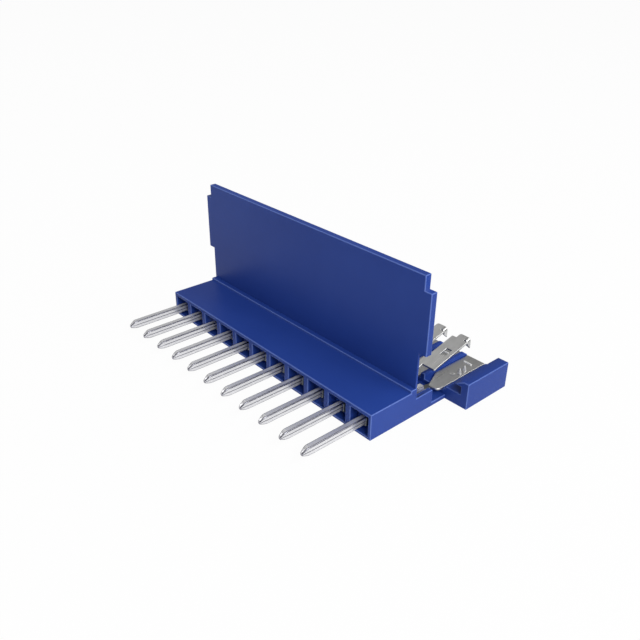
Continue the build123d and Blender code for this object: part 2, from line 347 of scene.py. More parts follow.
class NodeTree:
    """Builds the nodes of one material or world."""

    def __init__(self, owner: Material | World) -> None:
        """Start from the nodes of a new material or world.

        Args:
            owner: The material or world.
        """
        owner.use_nodes = True
        self.owner = owner
        self.nodes = owner.node_tree.nodes
        self.links = owner.node_tree.links
        self.shader = self.nodes.get("Principled BSDF")

    def add(self, kind: str, **values: object) -> Node:
        """Add a node and set its inputs or properties by name.

        Args:
            kind: The node's type.
            **values: Inputs, with underscores for spaces, or properties.

        Returns:
            The new node.
        """
        node = self.nodes.new(kind)
        for name, value in values.items():
            socket = name.replace("_", " ")
            if socket in node.inputs:
                node.inputs[socket].default_value = value
            else:
                setattr(node, name, value)
        return node

    def join(self, source: NodeSocket, target: NodeSocket) -> None:
        """Link one socket to another."""
        self.links.new(source, target)

    def noise(self, stretch: Triple, detail: float) -> NodeSocket:
        """Add a noise pattern in object space.

        Args:
            stretch: Pattern repeats for each metre along X, Y and Z.
            detail: Octaves of finer noise.

        Returns:
            The noise value's socket.
        """
        place = self.add("ShaderNodeTexCoord")
        scaled = self.add("ShaderNodeMapping", Scale=stretch)
        pattern = self.add("ShaderNodeTexNoise", Scale=1.0, Detail=detail, Roughness=NOISE_ROUGHNESS)
        self.join(place.outputs["Object"], scaled.inputs["Vector"])
        self.join(scaled.outputs["Vector"], pattern.inputs["Vector"])
        return pattern.outputs["Fac"]

    def ramp(self, value: NodeSocket, low: tuple, high: tuple) -> NodeSocket:
        """Turn a noise value into a colour between two colours.

        Args:
            value: The noise value.
            low: Colour at the low end.
            high: Colour at the high end.

        Returns:
            The colour's socket.
        """
        ramp = self.add("ShaderNodeValToRGB")
        for element, place, colour in zip(ramp.color_ramp.elements, NOISE_RANGE, (low, high)):
            element.position = place
            element.color = (*colour, 1.0)
        self.join(value, ramp.inputs["Fac"])
        return ramp.outputs["Color"]

    def span(self, value: NodeSocket, low: float, high: float) -> NodeSocket:
        """Turn a noise value into a number between two numbers.

        Args:
            value: The noise value.
            low: Number at the low end.
            high: Number at the high end.

        Returns:
            The number's socket.
        """
        least, most = NOISE_RANGE
        span = self.add("ShaderNodeMapRange", From_Min=least, From_Max=most, To_Min=low, To_Max=high)
        self.join(value, span.inputs["Value"])
        return span.outputs["Result"]

    def bump(self, value: NodeSocket, height: float) -> None:
        """Raise the surface by a noise value.

        Args:
            value: The noise value.
            height: How far it raises the surface at most.
        """
        bump = self.add("ShaderNodeBump", Strength=1.0, Distance=height)
        self.join(value, bump.inputs["Height"])
        self.join(bump.outputs["Normal"], self.shader.inputs["Normal"])

    def by_ray(
        self,
        kinds: tuple[str, str],
        share: float,
        usual: NodeSocket,
        seen: NodeSocket,
    ) -> NodeSocket:
        """Give two kinds of ray a share of another shader.

        Args:
            kinds: The two kinds, as the light path node names them.
            share: How much of the other shader they get.
            usual: The shader for all other rays.
            seen: The other shader.

        Returns:
            The mixed shader's socket.
        """
        path = self.add("ShaderNodeLightPath")
        either = self.add("ShaderNodeMath", operation="MAXIMUM")
        for kind, target in zip(kinds, either.inputs):
            self.join(path.outputs[kind], target)
        part = self.add("ShaderNodeMath", operation="MULTIPLY")
        part.inputs[1].default_value = share
        mix = self.add("ShaderNodeMixShader")
        self.join(either.outputs["Value"], part.inputs[0])
        self.join(part.outputs["Value"], mix.inputs["Fac"])
        self.join(usual, mix.inputs[1])
        self.join(seen, mix.inputs[2])
        return mix.outputs["Shader"]


@dataclass(frozen=True)
class Finish:
    """A finish whose colour, roughness and relief vary a little from place to place.

    Attributes:
        name: The material's name.
        deep: Colour at its deepest.
        light: Colour at its lightest.
        smooth: Lowest roughness.
        rough: Highest roughness.
        relief: Height of its fine pattern.
        cloud_repeats: Repeats of the colour's pattern for each metre along X, Y and Z.
        cloud_detail: Octaves of that pattern.
        fine_repeats: Repeats of the pattern of roughness and relief.
        fine_detail: Octaves of that pattern.
        gloss: Specular level.
        metal: How much of it shines as metal, against a matt bloom.
    """

    name: str
    deep: Triple
    light: Triple
    smooth: float
    rough: float
    relief: float
    cloud_repeats: Triple
    cloud_detail: float
    fine_repeats: Triple
    fine_detail: float
    gloss: float
    metal: float

    def build(self) -> Material:
        """Make the material.

        Returns:
            The new material.
        """
        tree = NodeTree(bpy.data.materials.new(self.name))
        cloud = tree.noise(self.cloud_repeats, self.cloud_detail)
        fine = tree.noise(self.fine_repeats, self.fine_detail)
        tree.join(tree.ramp(cloud, self.deep, self.light), tree.shader.inputs["Base Color"])
        tree.join(tree.span(fine, self.smooth, self.rough), tree.shader.inputs["Roughness"])
        tree.bump(fine, self.relief)
        tree.shader.inputs["Specular IOR Level"].default_value = self.gloss
        tree.shader.inputs["Metallic"].default_value = self.metal
        return tree.owner


# Satin blue plastic with faint flow marks and a fine moulded grain.
BLUE_PLASTIC = Finish(
    name="blue_moulding",
    deep=(0.016, 0.048, 0.266),
    light=(0.021, 0.058, 0.298),
    smooth=0.34,
    rough=0.46,
    relief=0.0012 * MM,
    cloud_repeats=(90.0, 160.0, 120.0),
    cloud_detail=3.0,
    fine_repeats=(9000.0, 9000.0, 9000.0),
    fine_detail=4.0,
    gloss=0.15,
    metal=0.0,
)
# Lighter, glossier blue on the rounded outward edges: a painted highlight along the edges.
EDGE_HIGHLIGHT_PAINTED_PLASTIC = replace(
    BLUE_PLASTIC,
    name="moulding_edge_painted_highlight",
    deep=(0.085, 0.145, 0.45),
    light=(0.1, 0.165, 0.49),
    smooth=0.35,
    rough=0.45,
    relief=0.0006 * MM,
    gloss=0.2,
)
# Bright tin over formed strip, with faint drawing lines along the contact.
TIN = Finish(
    name="plated_contact",
    deep=(0.56, 0.56, 0.55),
    light=(0.66, 0.66, 0.655),
    smooth=0.27,
    rough=0.38,
    relief=0.0016 * MM,
    cloud_repeats=(700.0, 500.0, 700.0),
    cloud_detail=3.0,
    fine_repeats=(3600.0, 120.0, 3600.0),
    fine_detail=1.0,
    gloss=0.5,
    metal=1.0,
)
# Near-white, partly matt tin on the tines and the bead: a painted glint that makes them shine bright.
GLINT_PAINTED_TIN = replace(
    TIN,
    name="tine_and_bead_painted_glint",
    deep=(0.82, 0.82, 0.81),
    light=(0.92, 0.92, 0.91),
    smooth=0.45,
    rough=0.55,
    metal=0.4,
)
# Dark tin on the channel, neck and shoulder: painted shade where they sit in the chamber.
SHADED_TIN = replace(
    TIN,
    name="chamber_tin_painted_shade",
    deep=(0.16, 0.17, 0.17),
    light=(0.22, 0.23, 0.23),
    smooth=0.4,
    rough=0.5,
)
PIN_TIN = replace(
    TIN,
    name="drawn_pin_tin",
    deep=(0.72, 0.72, 0.74),
    light=(0.78, 0.78, 0.8),
    smooth=0.26,
    rough=0.3,
    relief=0.0002 * MM,
    metal=0.65,
)
# Dark tin on the pin's rounded corners, fold lines and seam: painted shade along them.
PAINTED_SHADE_CORNER_TIN = replace(
    PIN_TIN,
    name="pin_corner_painted_shade",
    deep=(0.25, 0.25, 0.29),
    light=(0.3, 0.3, 0.34),
    metal=1.0,
)
CONTACT_FINISHES = (TIN, GLINT_PAINTED_TIN, SHADED_TIN, PIN_TIN, PAINTED_SHADE_CORNER_TIN)


def dress(piece: Object, finishes: list[Material], body: Body | None) -> None:
    """Give a piece its finishes and the body that it rides on.

    Args:
        piece: The piece.
        finishes: Its materials, in slot order.
        body: The body, or None where the piece bends between the two.
    """
    while len(piece.data.materials) < len(finishes):
        piece.data.materials.append(None)
    for index, finish in enumerate(finishes):
        piece.data.materials[index] = finish
    if body is not None:
        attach(piece, body.value)
    LOG.info("%s: %d faces", piece.name, len(piece.data.polygons))


@dataclass
class Moulding:
    """Base, hinge web and cover, which leave the mould in one piece.

    Attributes:
        edge: Width of the small rounding on outward moulded edges.
        edge_segments: Faces across that rounding.
        least_turn: Smallest turn of an edge that is rounded, in degrees.
        web_rows: Rows of points up the hinge web.
        web_columns: Points along each long side of the hinge web.
    """

    edge: float = 0.07 * MM
    edge_segments: int = 3
    least_turn: float = 55.0
    web_rows: int = 28
    web_columns: int = 24

    def copied(
        self,
        node: str,
        name: str,
        finishes: list[Material],
        body: Body,
        square_height: float | None = None,
    ) -> None:
        """Make one rigid moulding from its node's mesh.

        The triangles of that mesh are joined into flat faces, and its outward edges are rounded.

        Args:
            node: The node that the piece stands for.
            name: The piece's name.
            finishes: The plastic and its lighter edge finish, which paints a highlight along the
                rounded edges.
            body: The body that it rides on.
            square_height: Height at which level edges stay square.
        """
        mesh = bpy.data.meshes.new(name)
        with editing(mesh) as shape:
            shape.from_mesh(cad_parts[node].data)
            bmesh.ops.remove_doubles(shape, verts=shape.verts, dist=SAME_PLACE)
            flat = {"verts": shape.verts, "edges": shape.edges, "angle_limit": FLAT_TURN}
            bmesh.ops.dissolve_limit(shape, **flat)
            weigh_edges(shape, math.radians(self.least_turn), self.edge, square_height)
        for finish in finishes:
            mesh.materials.append(finish)
        piece = placed(name, mesh)
        # The rounded faces take slot 1, the lighter blue that paints the edge highlight.
        round_edges(piece, self.edge, self.edge_segments, 1)
        dress(even_shading(piece), finishes, body)
        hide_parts(node)

    def web(self, finishes: list[Material]) -> None:
        """Make the thin web that bends as the cover swings.

        A point of the web is found from two parameters: the first goes round the web's thin
        section, front, end, back and end, and the second goes from its foot to the cover.

        Args:
            finishes: The plastic.
        """
        low, high = (np.array(corner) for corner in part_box("hinge_web"))
        along = np.linspace(low[0], high[0], self.web_columns)
        ring = np.concatenate([along, along[::-1]])
        side = np.repeat([low[1], high[1]], self.web_columns)
        heights = np.linspace(low[2], high[2], self.web_rows)
        piece = to_object("hinge_web_bending", surface(ring, side, heights[:, None], True), False)
        dress(piece, finishes, None)
        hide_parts("hinge_web")
        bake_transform(piece)

    def build(self) -> None:
        """Make the three mouldings."""
        plastic, edge_highlight = BLUE_PLASTIC.build(), EDGE_HIGHLIGHT_PAINTED_PLASTIC.build()
        self.copied("housing", "base_moulding", [plastic, edge_highlight], Body.BASE)
        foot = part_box("cover_flap")[0].z
        self.copied("cover_flap", "cover_plate", [plastic, edge_highlight], Body.COVER, foot)
        self.web([plastic])


@dataclass
class Pin:
    """The folded pin in front of the block and its shank through it, in millimetres.

    Attributes:
        tip: Where the pin starts.
        shank_end: Where the shank ends behind the block.
        bottom: Height of its underside.
        width: Width of the folded section.
        height: Height of the folded section.
        corner: Radius of the section's corners.
        side_taper: Length of the coined tip seen from above.
        top_taper: Length of the coined tip seen from the side.
        nose_width: Width of the tip's end.
        nose_low: Underside of the tip's end above the pin's underside.
        nose_high: Top of the tip's end above the pin's underside.
        dome: Length of the rounding on the tip's end.
        fold_half: Half the height of the line between the folded layers on each side.
        fold_depth: Depth of that line.
        seam_half: Half the width of the fold's seam.
        seam_depth: Depth of the seam.
        arc_points: Points on each corner of the section.
        bulge: Power of the curve that the tip grows by.
        dome_points: Points along the rounding on the tip's end.
        taper_points: Points along the coined tip.
        straight_runs: Distances from the tip to the points along the straight pin.
        seam_end: Where the seam ends.
        seam_closing: Half the length on which it closes.
        shoulder: Left, front, bottom, right, rear and top of the stop shoulder.
        shoulder_corner: Radius of the shoulder's corners.
        shoulder_points: Points along the rounding of its front and rear.
        corner_share: Largest share of a pin's half section that a corner takes.
        shoulder_share: The same for the shoulder.
    """

    tip: float = -10.85
    shank_end: float = 2.3
    bottom: float = 0.74
    width: float = 0.53
    height: float = 0.735
    corner: float = 0.09
    side_taper: float = 0.78
    top_taper: float = 0.6
    nose_width: float = 0.24
    nose_low: float = 0.14
    nose_high: float = 0.38
    dome: float = 0.05
    fold_half: float = 0.035
    fold_depth: float = 0.02
    seam_half: float = 0.025
    seam_depth: float = 0.2
    arc_points: int = 7
    bulge: float = 1.5
    dome_points: int = 6
    taper_points: int = 14
    straight_runs: tuple[float, ...] = (1.2, 2.4, 3.6, 4.8)
    seam_end: float = -4.5
    seam_closing: float = 0.1
    shoulder: tuple[float, ...] = (-0.34, -4.5, 0.54, 0.34, -4.1, 1.42)
    shoulder_corner: float = 0.11
    shoulder_points: int = 4
    corner_share: float = 0.8
    shoulder_share: float = 0.5

    def section(
        self, half: np.ndarray, rise: np.ndarray, corner: np.ndarray, seam: np.ndarray
    ) -> tuple[np.ndarray, np.ndarray]:
        """Make a row of rounded sections with the seam underneath.

        Each corner is a quarter circle round a centre one radius inside both sides. The seam is a
        narrow slit up from the middle of the underside. On a small section the slit takes no more
        than a third of the half width, and the fold's line is no deeper than a quarter of it.

        Args:
            half: Half width of each section.
            rise: Half height of each section.
            corner: Corner radius of each section.
            seam: Depth of the seam in each section.

        Returns:
            Places across and up from the section's middle, each with one row for a section.
        """
        quarter = np.linspace(0.0, math.pi / 2, self.arc_points)
        turns = np.concatenate([quarter + start * math.pi / 2 for start in range(4)])
        corner_x = np.repeat([1.0, -1.0, -1.0, 1.0], self.arc_points)
        corner_z = np.repeat([1.0, 1.0, -1.0, -1.0], self.arc_points)
        x = corner_x * (half - corner)[:, None] + corner[:, None] * np.cos(turns)
        z = corner_z * (rise - corner)[:, None] + corner[:, None] * np.sin(turns)
        slit_x = np.array([-1.0, -1.0, 1.0, 1.0]) * np.minimum(self.seam_half, half / 3)[:, None]
        slit_z = -rise[:, None] + np.array([0.0, 1.0, 1.0, 0.0]) * seam[:, None]
        room = np.minimum(1.0, rise / (3 * self.fold_half))[:, None]
        line_z = np.array([1.0, 0.0, -1.0]) * self.fold_half * room
        depth = np.minimum(self.fold_depth, half / 4)[:, None]
        line_x = half[:, None] - np.array([0.0, 1.0, 0.0]) * depth
        second, third = 2 * self.arc_points, 3 * self.arc_points
        across = [x[:, :second], -line_x, x[:, second:third], slit_x, x[:, third:], line_x]
        up = [z[:, :second], line_z, z[:, second:third], slit_z, z[:, third:], -line_z]
        return np.concatenate(across, axis=1), np.concatenate(up, axis=1)

    def shaded_faces(self, count: int) -> np.ndarray:
        """Mark the faces on the section's corners, fold lines and seam, which take painted shade.

        Args:
            count: Number of faces on the skin, whole rings of the section.

        Returns:
            True for each face that takes the darker finish.
        """
        arc = self.arc_points
        corner = [True] * (arc - 1) + [False]
        fold_line = [True, True, False]
        seam = [True, True, True, False]
        ring = corner + corner + fold_line + corner + seam + corner + fold_line
        return np.resize(np.array(ring), count)

    def shaft(self) -> Shell:
        """Make the pin and shank as one skin.

        The tip's half width and half height grow along its length like a bulging curve, one less
        the distance left raised to a power, and its very end closes as a quarter ellipse.

        Returns:
            The skin, closed at both ends.
        """
        dome = self.dome * (1 - np.cos(np.linspace(0, math.pi / 2, self.dome_points)))
        taper = np.linspace(self.dome, self.side_taper, self.taper_points)[1:]
        seam_run, whole_run = self.seam_end - self.tip, self.shank_end - self.tip
        closing_runs = [seam_run - self.seam_closing, seam_run + self.seam_closing]
        run = np.concatenate([dome, taper, self.straight_runs, closing_runs, [whole_run] * 2])
        side = 1 - (1 - np.clip(run / self.side_taper, 0, 1)) ** self.bulge
        above = 1 - (1 - np.clip(run / self.top_taper, 0, 1)) ** self.bulge
        closing = np.sqrt(np.clip(1 - (1 - np.clip(run / self.dome, 0, 1)) ** 2, 0, 1))
        closing[-1] = 0.0
        half = closing * (self.nose_width / 2 + (self.width - self.nose_width) / 2 * side)
        low = self.nose_low * (1 - above)
        high = self.nose_high + (self.height - self.nose_high) * above
        rise = closing * (high - low) / 2
        middle = self.bottom + (high + low) / 2
        corner = np.minimum(self.corner, self.corner_share * np.minimum(half, rise))
        seam = np.where((run > self.side_taper) & (run < seam_run), self.seam_depth, 0.0)
        across, up = self.section(half, rise, corner, seam)
        return surface(across, (self.tip + run)[:, None], middle[:, None] + up, True)

    def collar(self) -> Shell:
        """Make the stop shoulder as a rounded block.

        Returns:
            The skin, closed at both ends.
        """
        left, front, low, right, rear, high = self.shoulder
        ease = np.linspace(0, math.pi / 2, self.shoulder_points)
        inset = self.shoulder_corner * (1 - np.sin(ease))
        step = self.shoulder_corner * (1 - np.cos(ease))
        place = np.concatenate([[front], front + step, rear - step[::-1], [rear]])
        shrink = np.concatenate([inset[:1], inset, inset[::-1], inset[:1]])
        half = (right - left) / 2 - shrink
        rise = (high - low) / 2 - shrink
        half[[0, -1]] = 0.0
        rise[[0, -1]] = 0.0
        room = self.shoulder_share * np.minimum(half, rise)
        corner = np.minimum(self.shoulder_corner, room)
        across, up = self.section(half, rise, corner, np.zeros(len(place)))
        return surface((left + right) / 2 + across, place[:, None], (low + high) / 2 + up, True)


@dataclass
class Strip:
    """The stamped and bent sheet behind the pin, in millimetres, as the middle of its thickness.

    Attributes:
        sheet: Thickness of the strip.
        bend: Radius of its bends at the middle of the thickness.
        bend_points: Points on each bend.
        edge: Width of the rounding on its stamped edges.
        channel_front: Where the channel starts.
        channel_rear: Where it ends.
        channel_path: Corners of its section, across and up.
        neck_path: Corners of the neck's side view.
        neck_edges: Rows of distance, left edge and right edge of the neck.
        neck_step: Longest run between points along it.
        arm_path: Corners of the side view of arm and jaw.
        arm_radii: Radii of its bends.
        arm_edges: Rows of distance, left edge and right edge of the arm.
        arm_step: Longest run between points along it.
        arm_gap: Shortest run in front of its last point.
        jaw_across: Lines of points across the jaw.
        jaw_along: Lines of points along the jaw.
        fold: Where the tip's right side starts to fold down.
        fold_radius: Radius of that fold.
        tooth_point: Height of the tooth at the rear.
        tooth_heel: Height of the tooth at its front.
        tang_start: Where the lanced tang starts.
        tang_sunk: How far its start lies below the middle of the jaw's thickness.
        tang_path: Corners of its side view from there.
        tang_bend: Radius of its bend.
        tang_half: Half its width.
    """

    sheet: float = 0.2
    bend: float = 0.25
    bend_points: int = 7
    edge: float = 0.075
    channel_front: float = -3.4
    channel_rear: float = 0.1
    channel_path: tuple = ((0.45, 0.64), (-0.75, 0.64), (-0.75, 1.84), (-0.35, 1.84))
    neck_path: tuple = ((-0.1, 0.64), (2.85, 0.64), (3.5, 0.898), (3.62, 0.898))
    neck_edges: tuple = (
        (-0.1, -0.62, -0.02),
        (2.85, -0.62, -0.02),
        (3.5, -0.2, 0.4),
        (3.62, -0.2, 0.4),
    )
    neck_step: float = 0.4
    arm_path: tuple = ((-0.1, 1.84), (0.45, 1.84), (2.95, 2.84), (7.72, 4.08))
    arm_radii: tuple = (0.25, 1.0)
    arm_edges: tuple = (
        (-0.1, -0.85, -0.35),
        (0.45, -0.85, -0.35),
        (2.2, -1.2, -0.62),
        (2.95, -1.2, -0.62),
    )
    arm_step: float = 0.3
    arm_gap: float = 0.02
    jaw_across: tuple = (-1.2, -0.98, -0.62, -0.54, -0.26, 0.26, 0.68)
    jaw_along: tuple = (2.95, 3.9, 4.75, 5.6, 7.15, 7.23, 7.72)
    fold: float = 0.26
    fold_radius: float = 0.25
    tooth_point: float = 3.12
    tooth_heel: float = 3.57
    tang_start: float = 4.6
    tang_sunk: float = 0.01
    tang_path: tuple = ((0.0, 0.0), (0.2, 0.05), (0.57, -0.35))
    tang_bend: float = 0.12
    tang_half: float = 0.18

    def ribbon(self, path: np.ndarray, edges: tuple, shares: tuple | np.ndarray) -> Shell:
        """Sweep a strip along a side view, between a left and a right edge.

        Args:
            path: Places along and up, one row each.
            edges: Rows of distance along, left edge and right edge.
            shares: Where each column lies between the edges, from 0 to 1.

        Returns:
            The strip's middle surface.
        """
        places, *sides = np.transpose(edges)
        left, right = (np.interp(path[:, 0], places, side)[:, None] for side in sides)
        return surface(left + (right - left) * np.array(shares), path[:, :1], path[:, 1:])

    def channel(self) -> Shell:
        """Make the channel round the shank.

        Returns:
            The middle surface.
        """
        path = rounded_path(np.array(self.channel_path), [self.bend] * 2, self.bend_points)
        rows = np.linspace(self.channel_front, self.channel_rear, 3)
        return surface(path[:, 0], rows[:, None], path[:, 1])

    def neck(self) -> Shell:
        """Make the neck that jogs and rises to the blade.

        Returns:
            The middle surface.
        """
        path = rounded_path(np.array(self.neck_path), [self.bend] * 2, self.bend_points)
        return self.ribbon(subdivided(path, self.neck_step), self.neck_edges, (0.0, 1.0))

    def side_view(self) -> np.ndarray:
        """Make the rounded side view of arm and jaw.

        Returns:
            Places along and up, one row each.
        """
        return rounded_path(np.array(self.arm_path), list(self.arm_radii), self.bend_points)

    def height(self, along: float | np.ndarray) -> float | np.ndarray:
        """Give the height of the arm and jaw at distances along Y."""
        path = self.side_view()
        return np.interp(along, path[:, 0], path[:, 1])

    def arm(self) -> Shell:
        """Make the arm that carries the jaw.

        Returns:
            The middle surface, with its last row on the jaw's lines.
        """
        path = subdivided(self.side_view(), self.arm_step)
        end, left, right = self.arm_edges[-1]
        before_end = path[path[:, 0] < end - self.arm_gap]
        path = np.concatenate([before_end, [[end, self.height(end)]]])
        lines = np.array([line for line in self.jaw_across if line <= right])
        return self.ribbon(path, self.arm_edges, (lines - left) / (right - left))

    def jaw(self) -> Shell:
        """Make the flat jaw: every cell between the lines that lies inside the stamped outline.

        Returns:
            The middle surface, open at the window.
        """
        across, along = np.array(self.jaw_across), np.array(self.jaw_along)
        plate = surface(across, along[:, None], self.height(along)[:, None])
        x, y = np.meshgrid((across[1:] + across[:-1]) / 2, (along[1:] + along[:-1]) / 2)
        _, flank, _, tip_left, window_left, window_right, _ = across
        _, step, window_front, window_rear, tip_front, _, _ = along
        inside = (y < step) | (x > flank)
        inside &= (y < tip_front) | ((x > tip_left) & (x < self.fold))
        window = (y > window_front) & (y < window_rear) & (x > window_left) & (x < window_right)
        return Shell(plate.points, plate.quads[(inside & ~window).reshape(-1)])

    def tooth(self) -> Shell:
        """Make the tooth that folds down from the tip's right side.

        Returns:
            The middle surface, with its first row on the jaw's lines.
        """
        along = np.array(self.jaw_along[-2:])
        turn = np.linspace(0, math.pi / 2, self.bend_points)
        out = self.fold + self.fold_radius * np.sin(turn)
        down = -self.fold_radius * (1 - np.cos(turn))
        bent = self.height(along) + down[:, None]
        height = np.concatenate([bent, [[self.tooth_heel, self.tooth_point]]])
        return surface(np.append(out, out[-1])[:, None], along, height)

    def tang(self) -> Shell:
        """Make the tang lanced down out of the window.

        Returns:
            The middle surface, which starts inside the jaw's plate.
        """
        start = np.array([self.tang_start, self.height(self.tang_start) - self.tang_sunk])
        path = rounded_path(start + np.array(self.tang_path), [self.tang_bend], EASE_POINTS)
        return self.ribbon(path, ((0.0, -self.tang_half, self.tang_half),), (0.0, 1.0))


@dataclass
class Blade:
    """The flat blade on the platform with its pressed marks and tines, in millimetres.

    Attributes:
        half: Half its width.
        nose: Where it starts.
        end: Where it ends.
        middle: Height of the middle of its thickness.
        thickness: Its thickness.
        nose_corner: Radius of the nose's right corner.
        flank: Length of the slanting left flank.
        nose_round: Radius of the nose's left corner.
        row_counts: Rows on the nose, up to the dimple, on the dimple and behind it.
        column_spans: Shares of the width between which columns lie, and their number.
        dimple: Place across and along of the pressed dimple.
        dimple_radius: Radius of the dimple.
        dimple_depth: Depth of the dimple.
        bar: Left, front, right and rear of the pressed bar.
        bar_height: Height of the pressed bar.
        bar_sunk: How far its middle lies below the blade's top.
        bar_end: Length of the rounding on each of its ends.
        tine_places: Fronts of the two tines.
        tine_offset: Middle of the tines across the blade.
        tine_base: Width of a tine at its foot.
        tine_point: Width of a tine at its top.
        tine_thickness: Thickness of a tine.
        tine_height: Height of a tine.
        tine_root: How far its foot lies below the blade's top.
        tine_flatness: Its size along the blade, as a share of its width.
        tine_rings: Shares of its height at which its lower rings lie, the first one closed.
        tine_closing: Share of its height at which its point starts to close.
    """

    half: float = 0.98
    nose: float = 3.2
    end: float = 9.74
    middle: float = 0.9
    thickness: float = 0.2
    nose_corner: float = 0.65
    flank: float = 2.15
    nose_round: float = 0.22
    row_counts: tuple[int, ...] = (10, 12, 15, 8)
    column_spans: tuple = ((0, 0.3, 4), (0.4, 0.8, 21), (0.9, 1, 2))
    dimple: tuple[float, float] = (0.19, 6.12)
    dimple_radius: float = 0.36
    dimple_depth: float = 0.1
    bar: tuple[float, ...] = (-0.5, 8.47, 0.4, 8.69)
    bar_height: float = 0.1
    bar_sunk: float = 0.01
    bar_end: float = 0.08
    tine_places: tuple[float, float] = (6.65, 7.33)
    tine_offset: float = 0.52
    tine_base: float = 0.44
    tine_point: float = 0.12
    tine_thickness: float = 0.14
    tine_height: float = 0.5
    tine_root: float = 0.06
    tine_flatness: float = 0.7
    tine_rings: tuple[float, ...] = (0.0, 0.0, 0.3, 0.6)
    tine_closing: float = 0.8

    def plate(self) -> Shell:
        """Make the blade's middle surface.

        The left edge slants back from the nose. The right edge starts as a quarter circle. The
        dimple sinks as the square of one less the squared distance from its middle.

        Returns:
            The middle surface.
        """
        turn = np.linspace(0, math.pi / 2, self.row_counts[0])
        nose = self.nose + self.nose_corner * (1 - np.cos(turn))
        dimple_front = self.dimple[1] - self.dimple_radius
        dimple_rear = self.dimple[1] + self.dimple_radius
        stops = (nose[-1], dimple_front, dimple_rear, self.end)
        spans = zip(stops[:-1], stops[1:], self.row_counts[1:])
        rows = np.concatenate([nose] + [np.linspace(*span)[1:] for span in spans])
        left = -self.half * np.clip((rows - self.nose) / self.flank, 0, 1)
        begun = np.clip(1 - (rows - self.nose) / self.nose_round, 0, 1)
        left = left + self.nose_round * (1 - np.sqrt(1 - begun**2))
        short = np.clip(self.nose + self.nose_corner - rows, 0, self.nose_corner)
        right = self.half - self.nose_corner + np.sqrt(self.nose_corner**2 - short**2)
        shares = np.concatenate([np.linspace(*span) for span in self.column_spans])
        x = left[:, None] + (right - left)[:, None] * shares
        y = rows[:, None]
        near = ((x - self.dimple[0]) ** 2 + (y - self.dimple[1]) ** 2) / self.dimple_radius**2
        sunk = self.dimple_depth * np.clip(1 - near, 0, 1) ** 2
        return surface(x, y, self.middle - sunk)

    def bead(self) -> Shell:
        """Make the raised bead across the blade.

        Its section is an ellipse that shrinks to nothing at both ends as a quarter circle does.

        Returns:
            The skin, with its lower half inside the blade.
        """
        left, front, right, rear = self.bar
        ends = self.bar_end * (1 - np.cos(np.linspace(0, math.pi / 2, EASE_POINTS)))
        place = np.concatenate([left + ends, right - ends[::-1]])[:, None]
        inward = np.clip(np.minimum(place - left, right - place) / self.bar_end, 0, 1)
        size = np.sqrt(np.clip(1 - (1 - inward) ** 2, 0, 1))
        turn = np.linspace(0, 2 * math.pi, RING_POINTS, endpoint=False)
        y = (front + rear) / 2 + size * np.cos(turn) * (rear - front) / 2
        top = self.middle + self.thickness / 2
        return surface(place, y, top - self.bar_sunk + size * np.sin(turn) * self.bar_height, True)

    def tine(self, front: float) -> Shell:
        """Make one upright tine as a tapered round spike.

        Its half widths shrink from foot to point, and the last stretch closes as a quarter
        ellipse.

        Args:
            front: Where its front side stands.

        Returns:
            The skin, with its foot inside the blade.
        """
        close = np.linspace(0, math.pi / 2, EASE_POINTS)
        last = self.tine_closing + (1 - self.tine_closing) * np.sin(close)
        share = np.concatenate([self.tine_rings, last])
        girth = np.concatenate([[0.0, 1.0, 1.0, 1.0], np.cos(close)])
        foot = self.middle + self.thickness / 2 - self.tine_root
        z = foot + share * (self.tine_height + self.tine_root)
        half = (girth * (self.tine_base + (self.tine_point - self.tine_base) * share) / 2)[:, None]
        turn = np.linspace(0, 2 * math.pi, RING_POINTS, endpoint=False)
        x = self.tine_offset + half * np.cos(turn)
        y = front + self.tine_thickness / 2 + self.tine_flatness * half * np.sin(turn)
        return surface(x, y, z[:, None], True)


